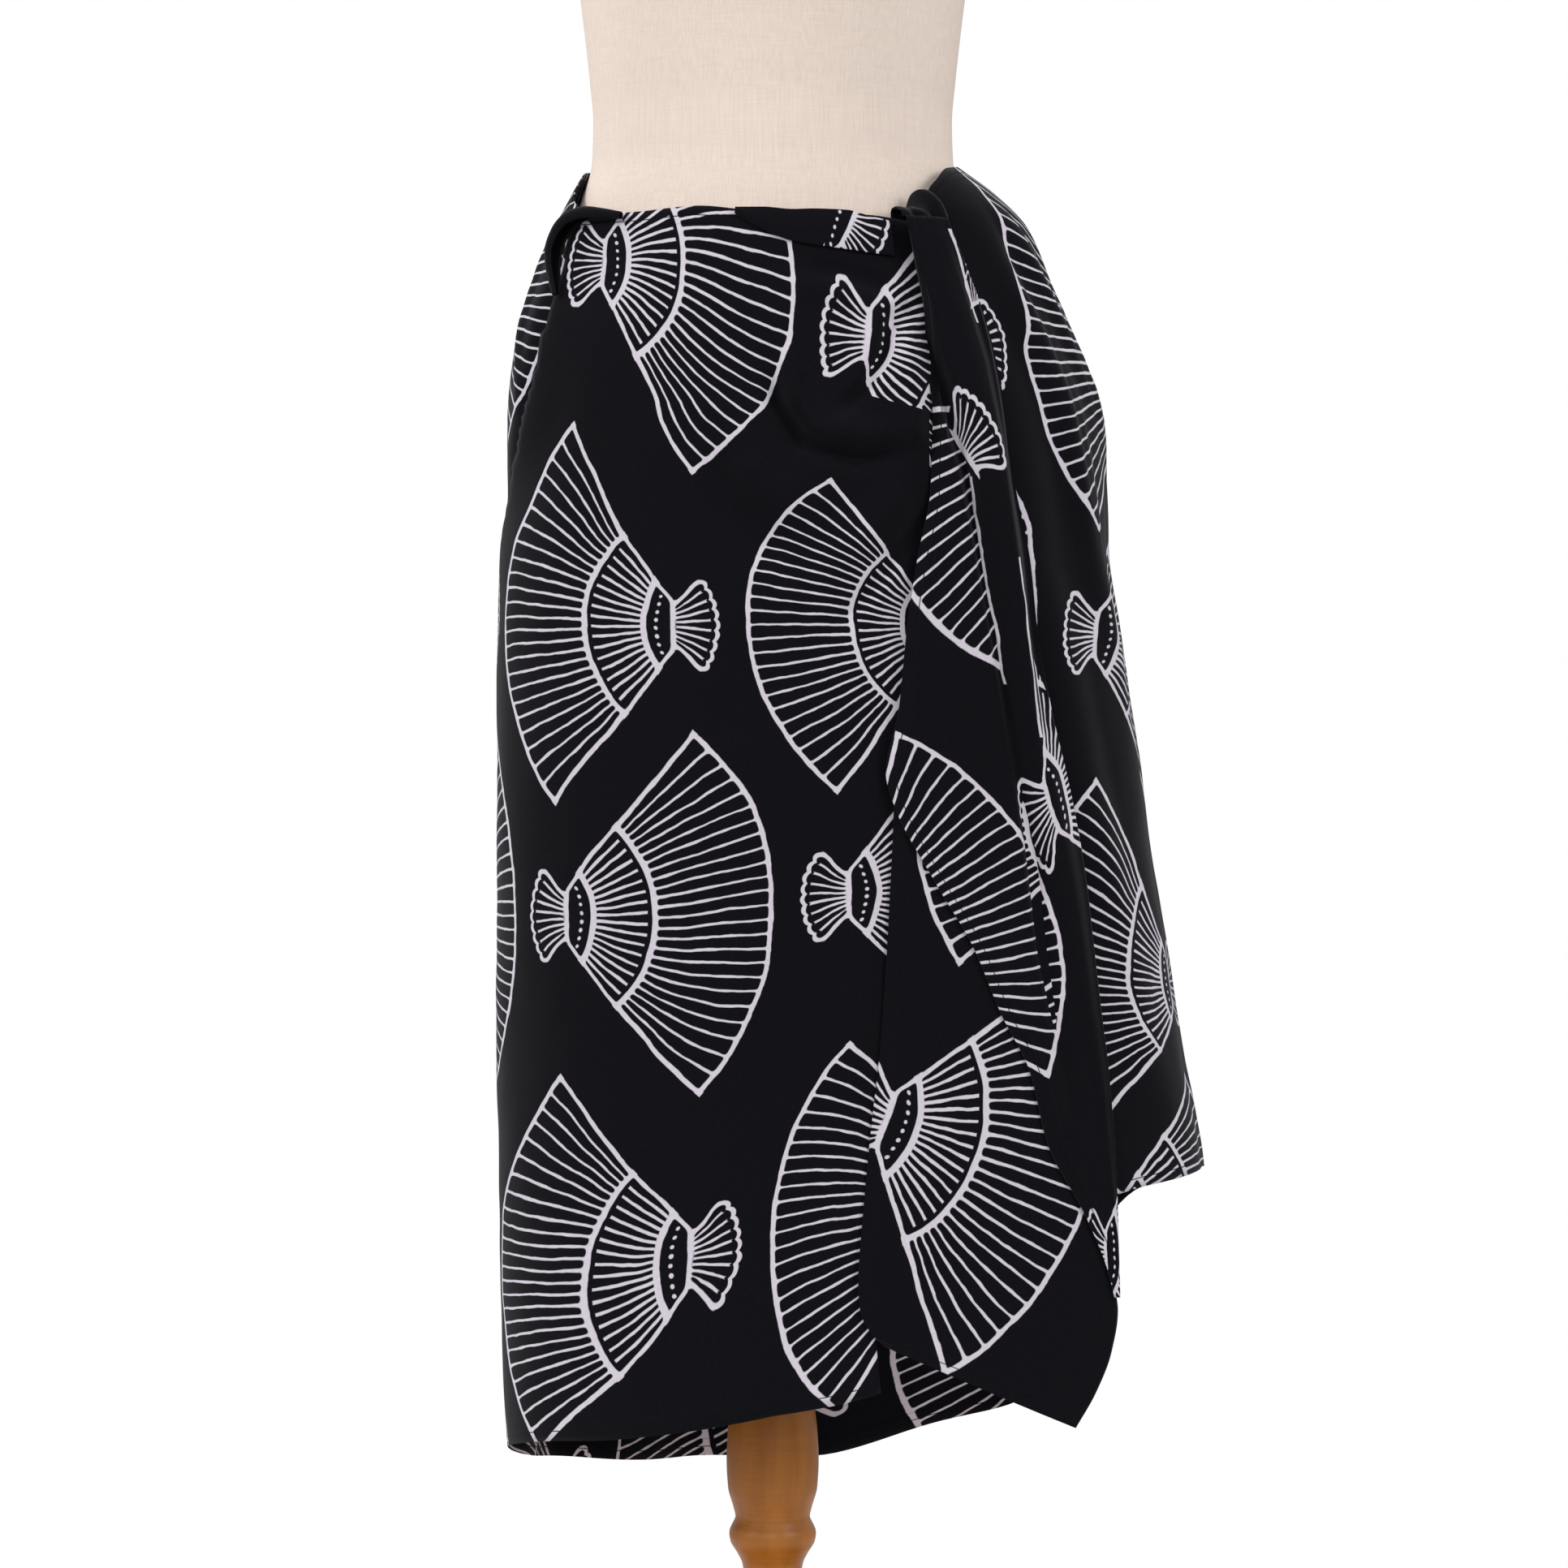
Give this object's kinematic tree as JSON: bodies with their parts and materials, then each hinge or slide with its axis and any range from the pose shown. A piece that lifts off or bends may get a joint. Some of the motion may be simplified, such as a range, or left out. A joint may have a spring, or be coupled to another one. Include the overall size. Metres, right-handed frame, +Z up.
{
  "type": "batik sarong on a dress form",
  "caption": "Wrapped batik sarong, tied at one hip with a hanging tail, on a limbless linen dress form with a turned wooden post and a round base.",
  "frame": {"origin": "centre of the round base's flat underside, on the post's axis", "axes": "+Z up the post, -Y towards the sarong's front, +X towards the wearer's left hip, where the cloth is tied"},
  "size_m": [0.5003, 0.402, 1.598],
  "materials": {
    "batik_cloth": "thin black rayon with a light fan print, soft sheen",
    "form_linen": "plain cream linen",
    "turned_wood": "varnished, satin"
  },
  "bodies": {
    "root": {"side_panel": "batik_cloth", "back_panel": "batik_cloth", "front_panel": "batik_cloth", "hip_fold": "batik_cloth", "waist_turnover": "batik_cloth", "waist_knot": "batik_cloth", "tail_under": "batik_cloth", "tail_over": "batik_cloth", "form_torso": "form_linen", "form_post": "turned_wood", "form_base": "turned_wood"}
  },
  "joints": []
}
